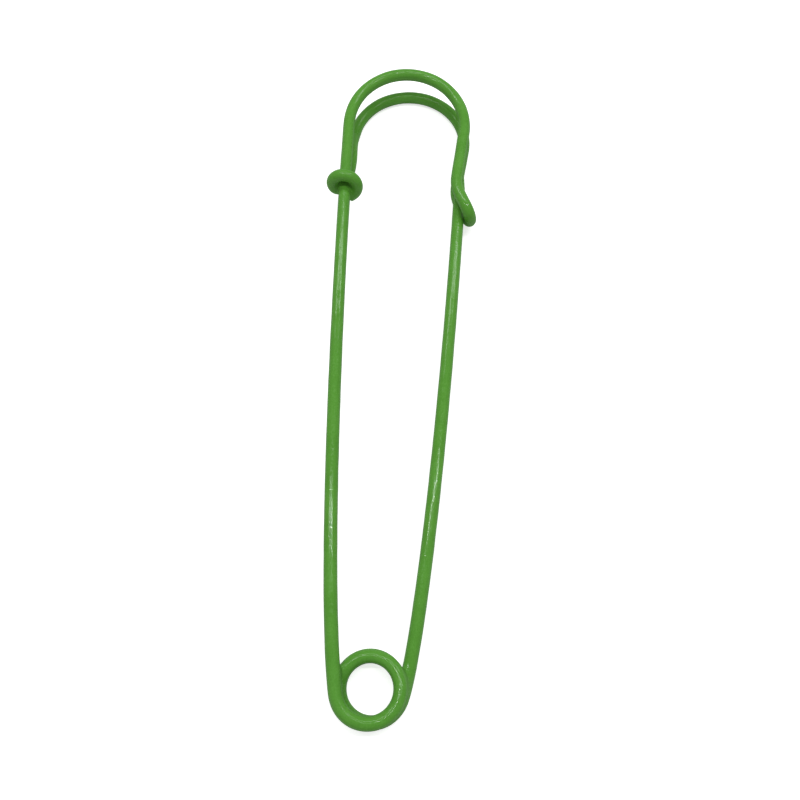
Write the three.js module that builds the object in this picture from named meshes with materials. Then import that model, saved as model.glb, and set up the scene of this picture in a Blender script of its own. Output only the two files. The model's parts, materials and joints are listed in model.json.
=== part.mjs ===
// A large safety pin of the stitch holder kind, bent from one round spring wire and coated green.
//
// The pin lies flat on its back, in millimetres. +Y runs from the coil to the head, +X from the
// fixed arm to the pin arm, and +Z up from the table. The front is the upper side, and the rear
// is the side that lies on the table. The wire is followed from the coil to the head, and it is
// cut square into named lengths at the places where its work changes, and once more in the middle
// of each long arm.

import * as THREE from 'three';

// Wire

const wireDiameter = 2.5;
const wireSides = 16;
// The saw cut between two lengths that stand still, and the wider one where two lengths turn.
const cutGap = 0.1;
const turningGap = 0.3;

// Coil, round the origin

const coilMeanRadius = 5.47;
// The free space between one turn and the next.
const coilTurnGap = 0.5;
// The front turn stands this much further left for each millimetre of height.
const coilLean = 0.179;
// How far below the leftmost and the rightmost point of the coil the two arms leave it.
const fixedArmLeaves = 9.0;
const pinArmLeaves = 21.6;
// The angle in which the wire eases from level into the slope of the coil, at either end.
const coilEase = 40;
// How deep the underside of the lowest turn is flattened where it stands on the table.
const standDepth = wireDiameter / 10;

// Head: two arches of the same wire, one over the other

const headDistance = 116.2;
const headOffset = 5.84;
// From the centre of the rear wire to the centre of the front wire.
const headDepth = 6.0;
const frontBowHalfWidth = 12.68;
const frontBowRise = 13.84;
const rearBowHalfWidth = 12.5;
const rearBowRise = 12.75;
// The rear arch is sprung a little to the right of the front one.
const rearBowOffset = 0.6;
// Angles at which the arms and legs leave the arches, above and below the level of their centres.
const frontBowStart = 2.0;
const rearBowStart = 14.1;
const frontBowEnd = 9.5;
const rearBowEnd = 10.5;

// Catch: both legs draw in to a waist, turn outwards in a tongue, and join in a fold

const frontLegLength = 13.74;
const rearLegLength = 12.1;
const waistRadius = 8.42;
const tongueAngle = 23.0;
const tongueLength = 4.98;

// Fixed arm: the lengths over which it keeps the direction of the coil and of the arch

const fixedArmCoilRun = 22.0;
const fixedArmHeadRun = 22.8;

// Guard eye: the last turn of the wire, wound round the fixed arm

const eyeDistance = 100.61;
const eyeClearance = 0.1;
// The turn runs from behind the arm, round its left, front and right, nearly back to behind it.
const eyeEntryAngle = -17.8;
const eyeLevelAngle = 51;
const eyeEndAngle = 331;
// How high above the turn the wire starts to bend into it, the share of that height over which
// it still keeps straight, and the share of the bend's angle over which it is already level.
const eyeEntryRise = 9.4;
const eyeStraightShare = 0.55;
const eyeLevelShare = 0.55;
// The turn drops this far towards the coil in a full circle, and its front stands this much higher.
const eyeDrop = 0.42;
const eyeTilt = 0.91;

// Guard leg: the share of its length over which it keeps the direction of either end

const guardLegShare = 0.4;

// Pin arm, with its ground point

const pinArmCoilRun = 6.59;
const pinArmCatchRun = 57.2;
const pinArmLean = 4.39;
// The arm's clearance to the inside of the fold, and over the rear wire of the catch.
const foldClearance = 0.15;
const slotClearance = 0.15;
// The stretch next to the coil, which swings with the arm but doesn't lift.
const springLegLength = 9.0;
// From the fold to the tip, how much of that is ground to a point, and the blunt tip's radius.
const pointReach = 14.5;
const pointLength = 10.0;
const tipRadius = 0.18;
// How full the point is: 1 is a straight cone, and more is rounder.
const pointFullness = 1.7;

// How many sections of the wire each length has

const coilSteps = 54;
const bowSteps = 32;
const legSteps = 18;
const foldSteps = 14;
const halfArmSteps = 13;
const guardLegSteps = 12;
const eyeSteps = 32;
const springLegSteps = 6;
const pointSteps = 8;

// Heights that follow from these

const wireRadius = wireDiameter / 2;
// A flat of the faceted wire lies on the table when its centre is this high.
const tableLevel = wireRadius * Math.cos(Math.PI / wireSides);
const frontLevel = tableLevel + headDepth;
const coilLowLevel = tableLevel - standDepth;
const turnPitch = wireDiameter + coilTurnGap;
const coilSweep = 540 - fixedArmLeaves - pinArmLeaves;
// The ease leaves out half its own angle of slope, so the slope is made up for one full turn.
const coilSlope = turnPitch / (360 - coilEase / 2);
const coilHighLevel = coilLowLevel + coilSlope * (coilSweep - coilEase);

const upwards = new THREE.Vector3(0, 0, 1);
const radians = THREE.MathUtils.degToRad;

// A curve that is a formula of one share, from 0 at its start to 1 at its end.
class FormulaCurve extends THREE.Curve {
  constructor(pointAtShare) {
    super();
    this.pointAtShare = pointAtShare;
    this.arcLengthDivisions = 800;
  }

  getPoint(share, target = new THREE.Vector3()) {
    return target.copy(this.pointAtShare(share));
  }
}

// A level direction, so many degrees from +Y towards +X.
function heading(degrees) {
  return new THREE.Vector3(Math.sin(radians(degrees)), Math.cos(radians(degrees)), 0);
}

// A smooth stretch between two points, each left in its own direction for its own length.
function smoothRun(start, startDirection, startRun, end, endDirection, endRun) {
  const leaving = start.clone().addScaledVector(startDirection, startRun);
  const arriving = end.clone().addScaledVector(endDirection, -endRun);
  const curve = new THREE.CubicBezierCurve3(start, leaving, arriving, end);
  curve.arcLengthDivisions = 800;
  return curve;
}

// Evenly spaced distances along a wire, both ends included and exact.
function evenly(from, to, steps) {
  return Array.from({ length: steps + 1 }, (_, i) => THREE.MathUtils.lerp(from, to, i / steps));
}

// A round wire along a curve, with a section at each of the given distances from the curve's
// start and a flat face at both ends. One facet of the section keeps facing against `above`, and
// nothing reaches below the table.
function wireAlong(curve, distances, above = upwards, radiusAt = () => wireRadius) {
  const length = curve.getLength();
  const positions = [];
  for (const distance of distances) {
    const centre = curve.getPointAt(distance / length);
    const along = curve.getTangentAt(distance / length);
    const side = new THREE.Vector3().crossVectors(along, above).normalize();
    const top = new THREE.Vector3().crossVectors(side, along);
    const radius = radiusAt(distance);
    for (let i = 0; i < wireSides; i++) {
      const angle = 2 * Math.PI * (i + 0.5) / wireSides;
      const point = centre.clone();
      point.addScaledVector(side, radius * Math.cos(angle));
      point.addScaledVector(top, radius * Math.sin(angle));
      positions.push(point.x, point.y, Math.max(point.z, 0));
    }
  }
  const faces = [];
  for (let ring = 0; ring + 1 < distances.length; ring++) {
    for (let i = 0; i < wireSides; i++) {
      const next = (i + 1) % wireSides;
      const here = ring * wireSides + i;
      const beside = ring * wireSides + next;
      const ahead = here + wireSides;
      const aheadBeside = beside + wireSides;
      faces.push(here, ahead, aheadBeside, here, aheadBeside, beside);
    }
  }
  const last = (distances.length - 1) * wireSides;
  for (let i = 1; i + 1 < wireSides; i++) {
    faces.push(0, i, i + 1);
    faces.push(last, last + i + 1, last + i);
  }
  const geometry = new THREE.BufferGeometry();
  geometry.setAttribute('position', new THREE.Float32BufferAttribute(positions, 3));
  geometry.setIndex(faces);
  geometry.computeVertexNormals();
  return geometry;
}

// A whole curve as a wire, less the saw cut at its start.
function wireFromCut(curve, steps, above = upwards) {
  return wireAlong(curve, evenly(cutGap, curve.getLength(), steps), above);
}

// Coil

// How far the wire has come down, in degrees of full slope, after so many degrees of the coil:
// a parabola into the slope, the straight slope, and a parabola out of it.
function easedAngle(turned) {
  if (turned < coilEase) {
    return turned ** 2 / (2 * coilEase);
  }
  if (turned > coilSweep - coilEase) {
    return coilSweep - coilEase - (coilSweep - turned) ** 2 / (2 * coilEase);
  }
  return turned - coilEase / 2;
}

const coilMiddleLevel = (coilLowLevel + coilHighLevel) / 2;
const coilCurve = new FormulaCurve((share) => {
  const turned = share * coilSweep;
  const angle = radians(180 + fixedArmLeaves + turned);
  const height = coilHighLevel - coilSlope * easedAngle(turned);
  return new THREE.Vector3(
    coilMeanRadius * Math.cos(angle) - coilLean * (height - coilMiddleLevel),
    coilMeanRadius * Math.sin(angle),
    height,
  );
});

// The least free space between the coil's turns, measured on points along its centre line.
function leastCoilGap() {
  const count = 600;
  const points = coilCurve.getSpacedPoints(count);
  const quarterTurn = Math.ceil(count * 90 / coilSweep);
  let least = Infinity;
  for (let i = 0; i <= count; i++) {
    for (let j = i + quarterTurn; j <= count; j++) {
      least = Math.min(least, points[i].distanceTo(points[j]));
    }
  }
  return least - wireDiameter;
}

console.log(`coil_spring: least gap to itself ${leastCoilGap().toFixed(2)} mm`);

// Head

// One arch: its centre, half width, rise above the centre, and level.
const frontBow = {
  centre: new THREE.Vector3(headOffset, headDistance, frontLevel),
  halfWidth: frontBowHalfWidth,
  rise: frontBowRise,
};
const rearBow = {
  centre: new THREE.Vector3(headOffset + rearBowOffset, headDistance, tableLevel),
  halfWidth: rearBowHalfWidth,
  rise: rearBowRise,
};

// The point of an arch at an angle, counted from its right side over the top to its left side.
function bowPoint(bow, degrees) {
  const x = bow.halfWidth * Math.cos(radians(degrees));
  const y = bow.rise * Math.sin(radians(degrees));
  return bow.centre.clone().add(new THREE.Vector3(x, y, 0));
}

// The direction of an arch there, going from its left side over the top to its right side.
function bowDirection(bow, degrees) {
  const x = bow.halfWidth * Math.sin(radians(degrees));
  const y = -bow.rise * Math.cos(radians(degrees));
  return new THREE.Vector3(x, y, 0).normalize();
}

function bowCurve(bow, startDegrees, endDegrees) {
  const from = 180 - startDegrees;
  const to = -endDegrees;
  return new FormulaCurve((share) => bowPoint(bow, from + (to - from) * share));
}

// Catch

// A leg: straight on from the arch to the waist, round a bend, and straight down the tongue.
function legCurve(start, direction, length) {
  const tongue = heading(180 - tongueAngle);
  const corner = start.clone().addScaledVector(direction, length);
  const turn = direction.angleTo(tongue);
  const setBack = waistRadius * Math.tan(turn / 2);
  const bendStart = corner.clone().addScaledVector(direction, -setBack);
  const bendEnd = corner.clone().addScaledVector(tongue, setBack);
  const end = corner.clone().addScaledVector(tongue, tongueLength);
  const inwards = new THREE.Vector3(-direction.y, direction.x, 0);
  const centre = bendStart.clone().addScaledVector(inwards, waistRadius);
  const curve = new THREE.CurvePath();
  curve.add(new THREE.LineCurve3(start, bendStart));
  curve.add(new FormulaCurve((share) => {
    const spoke = bendStart.clone().sub(centre);
    return spoke.applyAxisAngle(upwards, share * turn).add(centre);
  }));
  curve.add(new THREE.LineCurve3(bendEnd, end));
  curve.arcLengthDivisions = 800;
  return curve;
}

const frontLeg = legCurve(bowPoint(frontBow, -frontBowEnd), bowDirection(frontBow, -frontBowEnd),
  frontLegLength);
const rearLeg = legCurve(bowPoint(rearBow, -rearBowEnd), bowDirection(rearBow, -rearBowEnd),
  rearLegLength);

// The fold: half a circle that carries on from the front tongue and comes back up the rear one.
const tongueDirection = heading(180 - tongueAngle);
const foldRadius = headDepth / 2;
const foldStart = frontLeg.getPoint(1);
const foldEnd = rearLeg.getPoint(1);
const foldCurve = new FormulaCurve((share) => {
  const turned = Math.PI * share;
  const point = foldStart.clone().lerp(foldEnd, (1 - Math.cos(turned)) / 2);
  return point.addScaledVector(tongueDirection, foldRadius * Math.sin(turned));
});
const foldAcross = new THREE.Vector3().crossVectors(upwards, tongueDirection);

// Fixed arm

const fixedArmStart = coilCurve.getPoint(0);
const fixedArmCurve = smoothRun(
  fixedArmStart, heading(-fixedArmLeaves), fixedArmCoilRun,
  bowPoint(frontBow, 180 - frontBowStart), bowDirection(frontBow, 180 - frontBowStart),
  fixedArmHeadRun,
);

// The share of a curve, which rises in Y all the way, at which it reaches the given Y.
function shareAtY(curve, y) {
  let low = 0;
  let high = 1;
  for (let i = 0; i < 40; i++) {
    const middle = (low + high) / 2;
    if (curve.getPoint(middle).y < y) {
      low = middle;
    } else {
      high = middle;
    }
  }
  return low;
}

// Guard eye

const eyeRadius = wireDiameter + eyeClearance;
const eyeShare = shareAtY(fixedArmCurve, eyeDistance);
const eyeCentre = fixedArmCurve.getPoint(eyeShare);
const eyeAxis = fixedArmCurve.getTangent(eyeShare);
const eyeRight = new THREE.Vector3().crossVectors(eyeAxis, upwards).normalize();
const eyeFront = new THREE.Vector3().crossVectors(eyeRight, eyeAxis);

// The height of the finished turn along the arm, at an angle from behind round by the left.
function eyeHeight(degrees) {
  return -eyeDrop * (degrees - 180) / 360 - eyeTilt * Math.cos(radians(degrees));
}

// A point on the round of the eye, by its angle from behind and its height along the arm.
function eyePoint(degrees, height) {
  const point = eyeCentre.clone().addScaledVector(eyeAxis, height);
  point.addScaledVector(eyeRight, -eyeRadius * Math.sin(radians(degrees)));
  return point.addScaledVector(eyeFront, -eyeRadius * Math.cos(radians(degrees)));
}

// The bend into the turn, drawn on the unrolled round of the eye: x in degrees, y in height.
const eyeSlope = -eyeDrop / 360 + eyeTilt * Math.sin(radians(eyeLevelAngle)) * Math.PI / 180;
const eyeBendRun = (eyeLevelAngle - eyeEntryAngle) * eyeLevelShare;
const eyeLevelHeight = eyeHeight(eyeLevelAngle);
const eyeBend = new THREE.CubicBezierCurve(
  new THREE.Vector2(eyeEntryAngle, eyeLevelHeight + eyeEntryRise),
  new THREE.Vector2(eyeEntryAngle, eyeLevelHeight + eyeEntryRise * (1 - eyeStraightShare)),
  new THREE.Vector2(eyeLevelAngle - eyeBendRun, eyeLevelHeight - eyeSlope * eyeBendRun),
  new THREE.Vector2(eyeLevelAngle, eyeLevelHeight),
);
const eyeCurve = new THREE.CurvePath();
eyeCurve.arcLengthDivisions = 800;
eyeCurve.add(new FormulaCurve((share) => {
  const place = eyeBend.getPoint(share);
  return eyePoint(place.x, place.y);
}));
eyeCurve.add(new FormulaCurve((share) => {
  const degrees = eyeLevelAngle + (eyeEndAngle - eyeLevelAngle) * share;
  return eyePoint(degrees, eyeHeight(degrees));
}));

// Guard leg, from the rear arch down and forward to the eye

const guardStart = bowPoint(rearBow, 180 - rearBowStart);
const guardDirection = bowDirection(rearBow, 180 - rearBowStart).negate();
const guardEnd = eyeCurve.getPoint(0);
const guardRun = guardStart.distanceTo(guardEnd) * guardLegShare;
const guardCurve = smoothRun(
  guardStart, guardDirection, guardRun,
  guardEnd, eyeAxis.clone().negate(), guardRun,
);

// Pin arm: it passes inside the fold, clear of it, and lies in the slot over the rear wire

const pinArmDirection = heading(pinArmLean);
const pinArmOutwards = heading(90 + pinArmLean);
const foldMiddle = foldCurve.getPoint(0.5);
const pinArmAtFold = foldMiddle.clone();
pinArmAtFold.addScaledVector(pinArmOutwards, -(wireDiameter + foldClearance));
pinArmAtFold.setZ(tableLevel + wireDiameter + slotClearance);
const pinTip = pinArmAtFold.clone().addScaledVector(pinArmDirection, pointReach);
const pinArmCurve = new THREE.CurvePath();
pinArmCurve.arcLengthDivisions = 800;
pinArmCurve.add(smoothRun(
  coilCurve.getPoint(1), heading(pinArmLeaves), pinArmCoilRun,
  pinArmAtFold, pinArmDirection, pinArmCatchRun,
));
pinArmCurve.add(new THREE.LineCurve3(pinArmAtFold, pinTip));

// The arm's radius: full along the shank, then a long rounded point down to the blunt tip.
const pinArmLength = pinArmCurve.getLength();
const pointStart = pinArmLength - pointLength;
function pinArmRadius(distance) {
  const ground = Math.max(0, (distance - pointStart) / pointLength);
  return tipRadius + (wireRadius - tipRadius) * (1 - ground ** pointFullness);
}

// Nodes

function named(name, geometry) {
  const material = new THREE.MeshStandardMaterial({ color: 0x549634, roughness: 0.42 });
  const mesh = new THREE.Mesh(geometry, material);
  mesh.name = name;
  return mesh;
}

const fixedArmLength = fixedArmCurve.getLength();
const fixedArmMiddle = fixedArmLength / 2;
const pinArmStart = springLegLength + turningGap;
const pinArmMiddle = (pinArmStart + pointStart) / 2;
const rearBowCurve = bowCurve(rearBow, rearBowStart, rearBowEnd);

const pin = new THREE.Group();
pin.add(
  named('coil_spring', wireAlong(coilCurve, evenly(0, coilCurve.getLength(), coilSteps))),
  named('fixed_arm', wireAlong(fixedArmCurve, evenly(cutGap, fixedArmMiddle, halfArmSteps))),
  named('fixed_arm_head_half', wireAlong(fixedArmCurve,
    evenly(fixedArmMiddle + cutGap, fixedArmLength, halfArmSteps))),
  named('front_bow', wireFromCut(bowCurve(frontBow, frontBowStart, frontBowEnd), bowSteps)),
  named('catch_leg_front', wireFromCut(frontLeg, legSteps)),
  named('catch_fold', wireFromCut(foldCurve, foldSteps, foldAcross)),
  named('catch_leg_rear', wireAlong(rearLeg,
    evenly(cutGap, rearLeg.getLength() - cutGap, legSteps))),
  named('rear_bow', wireAlong(rearBowCurve, evenly(0, rearBowCurve.getLength(), bowSteps))),
  named('guard_leg', wireFromCut(guardCurve, guardLegSteps)),
  named('guard_eye', wireFromCut(eyeCurve, eyeSteps, eyeAxis)),
  named('spring_leg', wireAlong(pinArmCurve, evenly(cutGap, springLegLength, springLegSteps))),
  named('pin_arm', wireAlong(pinArmCurve, evenly(pinArmStart, pinArmMiddle, halfArmSteps))),
  named('pin_arm_point_half', wireAlong(pinArmCurve, [
    ...evenly(pinArmMiddle + cutGap, pointStart, halfArmSteps),
    ...evenly(pointStart, pinArmLength, pointSteps).slice(1),
  ], upwards, pinArmRadius)),
);

// The origin is on the table, under the middle of the whole pin.
const extent = new THREE.Box3().setFromObject(pin);
const middle = extent.getCenter(new THREE.Vector3());
pin.position.set(-middle.x, -middle.y, 0);
pin.updateMatrixWorld(true);

export default pin;
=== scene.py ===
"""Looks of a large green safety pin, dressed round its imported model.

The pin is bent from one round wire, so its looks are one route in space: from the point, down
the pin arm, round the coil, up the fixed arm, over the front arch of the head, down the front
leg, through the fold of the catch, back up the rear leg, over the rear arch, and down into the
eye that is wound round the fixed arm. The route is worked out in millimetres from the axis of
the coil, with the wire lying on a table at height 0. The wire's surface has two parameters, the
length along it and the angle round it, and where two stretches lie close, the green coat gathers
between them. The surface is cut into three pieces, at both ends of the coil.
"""

from __future__ import annotations

import json
import logging
import math
from dataclasses import dataclass
from enum import Enum

import bpy
import numpy as np
from mathutils import Matrix, Vector

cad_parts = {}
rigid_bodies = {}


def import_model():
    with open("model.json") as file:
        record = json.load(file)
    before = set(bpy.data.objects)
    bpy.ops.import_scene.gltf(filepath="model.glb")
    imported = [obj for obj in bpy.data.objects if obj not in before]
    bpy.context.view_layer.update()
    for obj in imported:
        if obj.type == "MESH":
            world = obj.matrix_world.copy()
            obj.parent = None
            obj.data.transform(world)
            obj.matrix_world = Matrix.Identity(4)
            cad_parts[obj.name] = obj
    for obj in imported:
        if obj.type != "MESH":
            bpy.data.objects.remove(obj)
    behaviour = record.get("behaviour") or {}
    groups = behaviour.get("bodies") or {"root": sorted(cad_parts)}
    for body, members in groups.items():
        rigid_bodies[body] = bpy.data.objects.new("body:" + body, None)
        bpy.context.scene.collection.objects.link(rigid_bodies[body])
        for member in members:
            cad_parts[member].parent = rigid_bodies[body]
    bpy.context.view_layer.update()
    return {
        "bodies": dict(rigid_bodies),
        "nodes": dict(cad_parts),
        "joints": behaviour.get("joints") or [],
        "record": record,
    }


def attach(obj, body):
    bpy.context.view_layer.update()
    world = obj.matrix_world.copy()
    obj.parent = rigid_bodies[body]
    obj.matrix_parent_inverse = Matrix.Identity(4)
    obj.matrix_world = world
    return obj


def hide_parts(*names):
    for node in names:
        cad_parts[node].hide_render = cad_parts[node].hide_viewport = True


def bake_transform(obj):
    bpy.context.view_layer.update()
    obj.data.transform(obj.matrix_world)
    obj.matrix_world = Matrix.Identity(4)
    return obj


log = logging.getLogger("safety_pin")

MM = 0.001
UP = np.array([0.0, 0.0, 1.0])
WHITE = (1.0, 1.0, 1.0, 1.0)
# Is added, or taken as the least, where a length of nothing would be divided by.
TINY = 1e-9
# Lengths along the wire that agree to this many decimals of a millimetre are the same.
LENGTH_DECIMALS = 6
# A lamp's power over its area and its radiance, as Cycles counts it.
LAMP_POWER = 4.0
PLACE_ATTRIBUTE = "coat_place"


class Body(Enum):
    """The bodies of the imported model."""

    HEAD_AND_COIL = "head_and_coil"
    SPRING_LEG = "spring_leg"
    PIN_ARM = "pin_arm"


class Slot(Enum):
    """The record's material slots."""

    GREEN_COAT = "green_coat"


def heading(degrees: float) -> np.ndarray:
    """Gives a level unit vector.

    Args:
        degrees: The angle from +Y towards +X.

    Returns:
        The unit vector, as three numbers.
    """
    angle = math.radians(degrees)
    return np.array([math.sin(angle), math.cos(angle), 0.0])


def unit(vectors: np.ndarray) -> np.ndarray:
    """Gives vectors their own direction and a length of 1.

    Args:
        vectors: One vector, or an array of vectors in rows.

    Returns:
        The same array, with each row divided by its length.
    """
    return vectors / np.linalg.norm(vectors, axis=-1, keepdims=True)


@dataclass(frozen=True)
class Route:
    """A stretch of the wire's centre line.

    Attributes:
        points: The centre line, in millimetres, in rows.
        outward: At each point, a direction square to the line that the section keeps to.
    """

    points: np.ndarray
    outward: np.ndarray

    @staticmethod
    def level(points: np.ndarray, outward: np.ndarray = UP) -> Route:
        """Makes a route whose section keeps to one direction all along."""
        return Route(points, np.broadcast_to(outward, points.shape).copy())

    def reversed(self) -> Route:
        """Gives the same stretch, walked the other way."""
        return Route(self.points[::-1], self.outward[::-1])

    def then(self, other: Route) -> Route:
        """Carries on with another stretch.

        Args:
            other: The stretch, which starts where this one ends.

        Returns:
            Both as one route, with the point that they share in it once.
        """
        return Route(
            np.vstack([self.points, other.points[1:]]),
            np.vstack([self.outward, other.outward[1:]]),
        )

    def lengths(self) -> np.ndarray:
        """Gives the length along the route at each point: the running sum of its steps."""
        steps = np.linalg.norm(np.diff(self.points, axis=0), axis=1)
        return np.concatenate([[0.0], np.cumsum(steps)])

    def at(self, stations: np.ndarray) -> Route:
        """Samples the route.

        Args:
            stations: Lengths along the route, in millimetres.

        Returns:
            The route at those lengths, straight between its own points.
        """
        along = self.lengths()
        pick = [np.interp(stations, along, column) for column in self.points.T]
        face = [np.interp(stations, along, column) for column in self.outward.T]
        return Route(np.stack(pick, 1), unit(np.stack(face, 1)))

    def eased(self, reach: float, step: float = 0.05, width: float = 4.0) -> Route:
        """Rounds off sudden changes of bend, as a wire's own stiffness does.

        Each point becomes the average of its neighbours under a bell curve. Past both ends the
        route is carried on by turning it half round its end point, which leaves the end and its
        direction where they are.

        Args:
            reach: The bell curve's standard deviation along the wire, in millimetres.
            step: The spacing at which the route is sampled first.
            width: How many standard deviations of the curve are used on either side.

        Returns:
            The eased route.
        """
        total = self.lengths()[-1]
        fine = self.at(np.linspace(0.0, total, int(total / step) + 1))
        half = int(width * reach / step)
        bell = np.exp(-0.5 * (np.arange(-half, half + 1) * step / reach) ** 2)
        bell /= bell.sum()
        before = 2 * fine.points[0] - fine.points[half:0:-1]
        after = 2 * fine.points[-1] - fine.points[-2 : -half - 2 : -1]
        long = np.vstack([before, fine.points, after])
        soft = np.stack([np.convolve(column, bell, "valid") for column in long.T], 1)
        return Route(soft, fine.outward)


def bezier(
    start: np.ndarray, leaving: np.ndarray, arriving: np.ndarray, end: np.ndarray, count: int
) -> np.ndarray:
    """Draws a cubic Bezier curve: four corners, mixed by the cubic weights of the way gone.

    Args:
        start: The first point.
        leaving: The corner that the curve sets out for.
        arriving: The corner that it comes in from.
        end: The last point.
        count: The number of points.

    Returns:
        The points, in rows.
    """
    t = np.linspace(0.0, 1.0, count)[:, None]
    return (
        (1 - t) ** 3 * start
        + 3 * (1 - t) ** 2 * t * leaving
        + 3 * (1 - t) * t**2 * arriving
        + t**3 * end
    )


def smooth_run(
    start: np.ndarray,
    start_direction: np.ndarray,
    start_run: float,
    end: np.ndarray,
    end_direction: np.ndarray,
    end_run: float,
    count: int = 800,
) -> np.ndarray:
    """Draws a smooth stretch between two points: a Bezier curve with a run at either end.

    Args:
        start: The first point.
        start_direction: The unit direction in which the stretch leaves it.
        start_run: How far it keeps to that direction.
        end: The last point.
        end_direction: The unit direction in which the stretch arrives.
        end_run: How far it keeps to that one.
        count: The number of points.

    Returns:
        The points, in rows.
    """
    leaving = start + start_direction * start_run
    arriving = end - end_direction * end_run
    return bezier(start, leaving, arriving, end, count)


@dataclass(frozen=True)
class WireStock:
    """The round wire, before it is bent. Sizes are in millimetres.

    Attributes:
        diameter: The coated wire's diameter.
        packed_flats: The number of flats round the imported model's wire, which lies on one.
    """

    diameter: float = 2.5
    packed_flats: int = 16

    @property
    def radius(self) -> float:
        """Half the diameter."""
        return self.diameter / 2

    @property
    def table_level(self) -> float:
        """The height of the centre of a wire that lies on the table: the reach of a flat."""
        return self.radius * math.cos(math.pi / self.packed_flats)


@dataclass(frozen=True)
class Coil:
    """The spring coil at the near end. Sizes are in millimetres and degrees.

    Attributes:
        wire: The wire's stock.
        turns: The turns between one side of the coil and the other.
        mean_radius: From the coil's axis to the wire's centre.
        turn_gap: The free space between one turn and the next.
        lean: How far left a turn stands for each millimetre of height.
        fixed_arm_leaves: How far below the coil's leftmost point the fixed arm leaves it.
        pin_arm_leaves: How far below its rightmost point the pin arm leaves it.
        ease: The angle in which the wire eases from level into its slope, at either end.
        stand_share: How deep the lowest turn is flattened on the table, as a share of the
            wire's diameter.
    """

    wire: WireStock
    turns: float = 1.5
    mean_radius: float = 5.47
    turn_gap: float = 0.5
    lean: float = 0.179
    fixed_arm_leaves: float = 9.0
    pin_arm_leaves: float = 21.6
    ease: float = 40.0
    stand_share: float = 0.1

    @property
    def sweep(self) -> float:
        """The whole angle that the wire turns: the turns, less what both arms leave out."""
        return self.turns * 360.0 - self.fixed_arm_leaves - self.pin_arm_leaves

    @property
    def slope(self) -> float:
        """How far the wire drops in each degree of full slope."""
        pitch = self.wire.diameter + self.turn_gap
        return pitch / (360.0 - self.ease / 2)

    @property
    def low_level(self) -> float:
        """The height of the wire's centre at the lower end."""
        return self.wire.table_level - self.wire.diameter * self.stand_share

    @property
    def high_level(self) -> float:
        """The height of the wire's centre at the upper end."""
        return self.low_level + self.slope * (self.sweep - self.ease)

    def route(self, count: int = 1600) -> Route:
        """Draws the coil from its upper end to its lower end.

        The angle runs evenly. The height drops by a parabola into the slope, by the straight
        slope, and by a parabola out of it, and the centre of the turn leans with the height.

        Args:
            count: The number of points.

        Returns:
            The route, with its section held upright.
        """
        turned = np.linspace(0.0, self.sweep, count)
        first = turned**2 / (2 * self.ease)
        last = self.sweep - self.ease - (self.sweep - turned) ** 2 / (2 * self.ease)
        eased = np.select(
            [turned < self.ease, turned > self.sweep - self.ease],
            [first, last],
            turned - self.ease / 2,
        )
        height = self.high_level - self.slope * eased
        middle = (self.high_level + self.low_level) / 2
        angle = np.radians(180.0 + self.fixed_arm_leaves + turned)
        across = self.mean_radius * np.cos(angle) - self.lean * (height - middle)
        along = self.mean_radius * np.sin(angle)
        return Route.level(np.stack([across, along, height], 1))


@dataclass(frozen=True)
class Arch:
    """One arch of the head: about half an ellipse, lying level. Sizes are in millimetres.

    Attributes:
        centre: The middle of the ellipse.
        half_width: From there to its side.
        rise: From there to its top.
        start: How far above the middle the left end is, in degrees.
        end: How far below the middle the right end is, in degrees.
    """

    centre: tuple[float, float, float]
    half_width: float
    rise: float
    start: float
    end: float

    def points(self, degrees: np.ndarray) -> np.ndarray:
        """Gives points of the arch: the cosine across it, and the sine up its rise.

        Args:
            degrees: The angles of the points, from the arch's right side over the top.

        Returns:
            The points, in rows.
        """
        turned = np.radians(np.atleast_1d(degrees))
        x = self.half_width * np.cos(turned)
        y = self.rise * np.sin(turned)
        return np.array(self.centre) + np.stack([x, y, np.zeros_like(x)], 1)

    def direction(self, degrees: float) -> np.ndarray:
        """Gives the direction of the arch: the sine across it, and less the cosine up its rise.

        Args:
            degrees: The angle of the place, from the arch's right side over the top.

        Returns:
            The unit direction there, going from left to right over the top.
        """
        turned = math.radians(degrees)
        across = self.half_width * math.sin(turned)
        along = -self.rise * math.cos(turned)
        return unit(np.array([across, along, 0.0]))

    @property
    def left(self) -> float:
        """The angle of its left end."""
        return 180.0 - self.start

    @property
    def right(self) -> float:
        """The angle of its right end."""
        return -self.end

    def route(self, outward: np.ndarray, count: int = 700) -> Route:
        """Draws the arch from its left end over the top to its right end."""
        return Route.level(self.points(np.linspace(self.left, self.right, count)), outward)


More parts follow.
